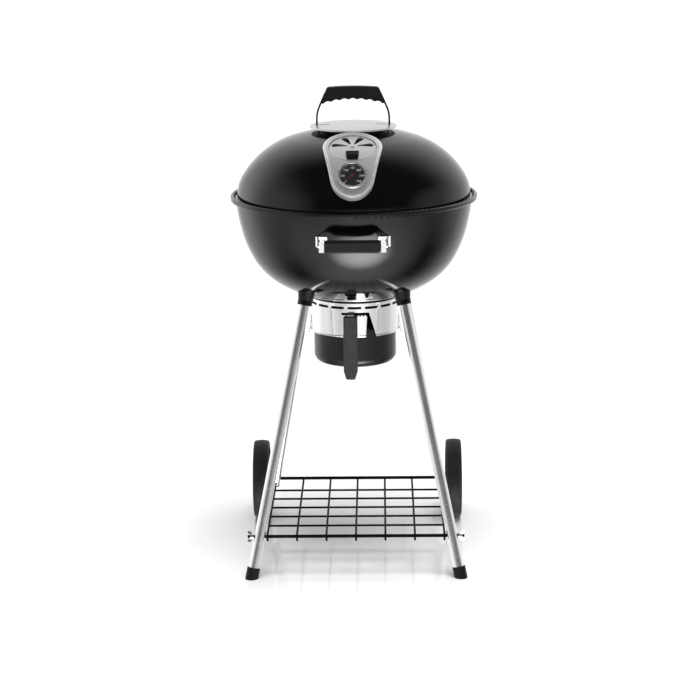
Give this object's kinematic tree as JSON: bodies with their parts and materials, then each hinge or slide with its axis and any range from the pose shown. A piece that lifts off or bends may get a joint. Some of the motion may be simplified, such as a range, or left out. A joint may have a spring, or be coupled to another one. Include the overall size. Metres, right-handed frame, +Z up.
{
  "type": "kettle charcoal grill",
  "caption": "Round kettle charcoal grill with a lift-off domed lid, vent and thermometer plate, ash catcher with sweeping lever, splayed tube legs, rear wheels and a wire shelf.",
  "frame": {"origin": "on the ground, on the kettle's vertical axis, which is the middle of the overall box in plan", "axes": "+Z up; -Y is the front, with the thermometer and the carrying handle; +Y is the back, with the wheels; +X is to the right seen from the front"},
  "size_m": [0.59, 0.68, 1.1369],
  "materials": {
    "black_enamel": "gloss porcelain enamel",
    "pan_enamel": "satin-gloss enamel",
    "socket_black": "semi-gloss paint",
    "black_wire": "black coating on wire",
    "black_plastic": "moulded plastic",
    "grip_plastic": "glass-filled nylon, fine texture",
    "lever_plastic": "dark grey moulded plastic",
    "wheel_plastic": "moulded plastic with a fine tread",
    "leg_tube": "bright drawn tube",
    "polished_steel": "bright polished sheet",
    "satin_plate": "satin silver",
    "chrome_steel": "chrome plate",
    "zinc_steel": "zinc plate",
    "handle_wire": "black coating",
    "grate_steel": "plated wire",
    "dial_face": "printed dial",
    "needle_red": "painted",
    "clear_glass": "clear"
  },
  "bodies": {
    "frame": {"bowl_shell": "black_enamel", "sweep_bearing": "zinc_steel", "cooking_grate_tabs": "black_enamel", "charcoal_grate_tabs": "black_enamel", "front_leg_sockets": "socket_black", "rear_leg_sockets": "socket_black", "leg_socket_screws": "zinc_steel", "front_right_leg": "leg_tube", "front_left_leg": "leg_tube", "rear_right_leg": "leg_tube", "rear_left_leg": "leg_tube", "foot_caps": "black_plastic", "rear_leg_plugs": "black_plastic", "wheel_axle": "black_wire", "axle_caps": "black_plastic", "axle_spacers": "zinc_steel", "shelf_rack": "black_wire", "shelf_front_rod": "black_wire", "wing_nuts": "chrome_steel", "ash_ring": "polished_steel", "ash_ring_tabs": "polished_steel", "ash_ring_screws": "zinc_steel", "ash_pan_clips": "zinc_steel", "front_handle_grip": "grip_plastic", "front_handle_right_strap": "chrome_steel", "front_handle_left_strap": "chrome_steel", "front_handle_screws": "chrome_steel"},
    "lid": {"lid_shell": "black_enamel", "heat_shield": "polished_steel", "heat_shield_feet": "black_plastic", "lid_handle_wire": "handle_wire", "lid_handle_grip": "grip_plastic", "lid_handle_nuts": "zinc_steel", "lid_hook": "zinc_steel", "vent_plate": "satin_plate", "vent_rivet": "satin_plate", "thermometer_case": "zinc_steel", "thermometer_bezel": "chrome_steel", "thermometer_dial": "dial_face", "thermometer_glass": "clear_glass", "thermometer_stem": "zinc_steel", "thermometer_nut": "zinc_steel"},
    "lid_vent": {"vent_disc": "satin_plate", "vent_tab": "grip_plastic"},
    "needle": {"thermometer_needle": "needle_red"},
    "cooking_grate": {"cooking_grate": "grate_steel"},
    "charcoal_grate": {"charcoal_grate": "grate_steel"},
    "ash_sweeper": {"sweep_blades": "zinc_steel", "sweep_pin": "zinc_steel", "sweep_nut": "zinc_steel", "sweep_arm": "zinc_steel", "sweep_grip": "lever_plastic"},
    "ash_pan": {"ash_pan": "pan_enamel"},
    "right_wheel": {"right_wheel": "wheel_plastic"},
    "left_wheel": {"left_wheel": "wheel_plastic"}
  },
  "joints": [
    {"name": "lid_lift", "type": "slide", "parent": "frame", "child": "lid", "axis": [0, 0, 1], "range_m": [0, 0.35]},
    {"name": "lid_vent_turn", "type": "hinge", "parent": "lid", "child": "lid_vent", "pos_m": [0, -0.17034, 1.01851], "axis": [0, -0.3827, 0.9239], "range_deg": [-25, 25]},
    {"name": "thermometer_needle_turn", "type": "hinge", "parent": "lid", "child": "needle", "pos_m": [0, -0.24994, 0.9612], "axis": [0, -0.7547, 0.6561], "range_deg": [-270, 0], "stiffness_Nm_per_rad": 0.0005},
    {"name": "cooking_grate_lift", "type": "slide", "parent": "frame", "child": "cooking_grate", "axis": [0, 0, 1], "range_m": [0, 0.04]},
    {"name": "charcoal_grate_lift", "type": "slide", "parent": "frame", "child": "charcoal_grate", "axis": [0, 0, 1], "range_m": [0, 0.11]},
    {"name": "sweeper_turn", "type": "hinge", "parent": "frame", "child": "ash_sweeper", "pos_m": [0, 0, 0.6185], "axis": [0, 0, 1], "range_deg": [-7.5, 18.5]},
    {"name": "ash_pan_drop", "type": "slide", "parent": "frame", "child": "ash_pan", "axis": [0, 0, 1], "range_m": [-0.13, 0]},
    {"name": "right_wheel_spin", "type": "hinge", "parent": "frame", "child": "right_wheel", "pos_m": [0.2465, 0.24, 0.1], "axis": [1, 0, 0], "continuous": true},
    {"name": "left_wheel_spin", "type": "hinge", "parent": "frame", "child": "left_wheel", "pos_m": [-0.2465, 0.24, 0.1], "axis": [1, 0, 0], "continuous": true}
  ]
}
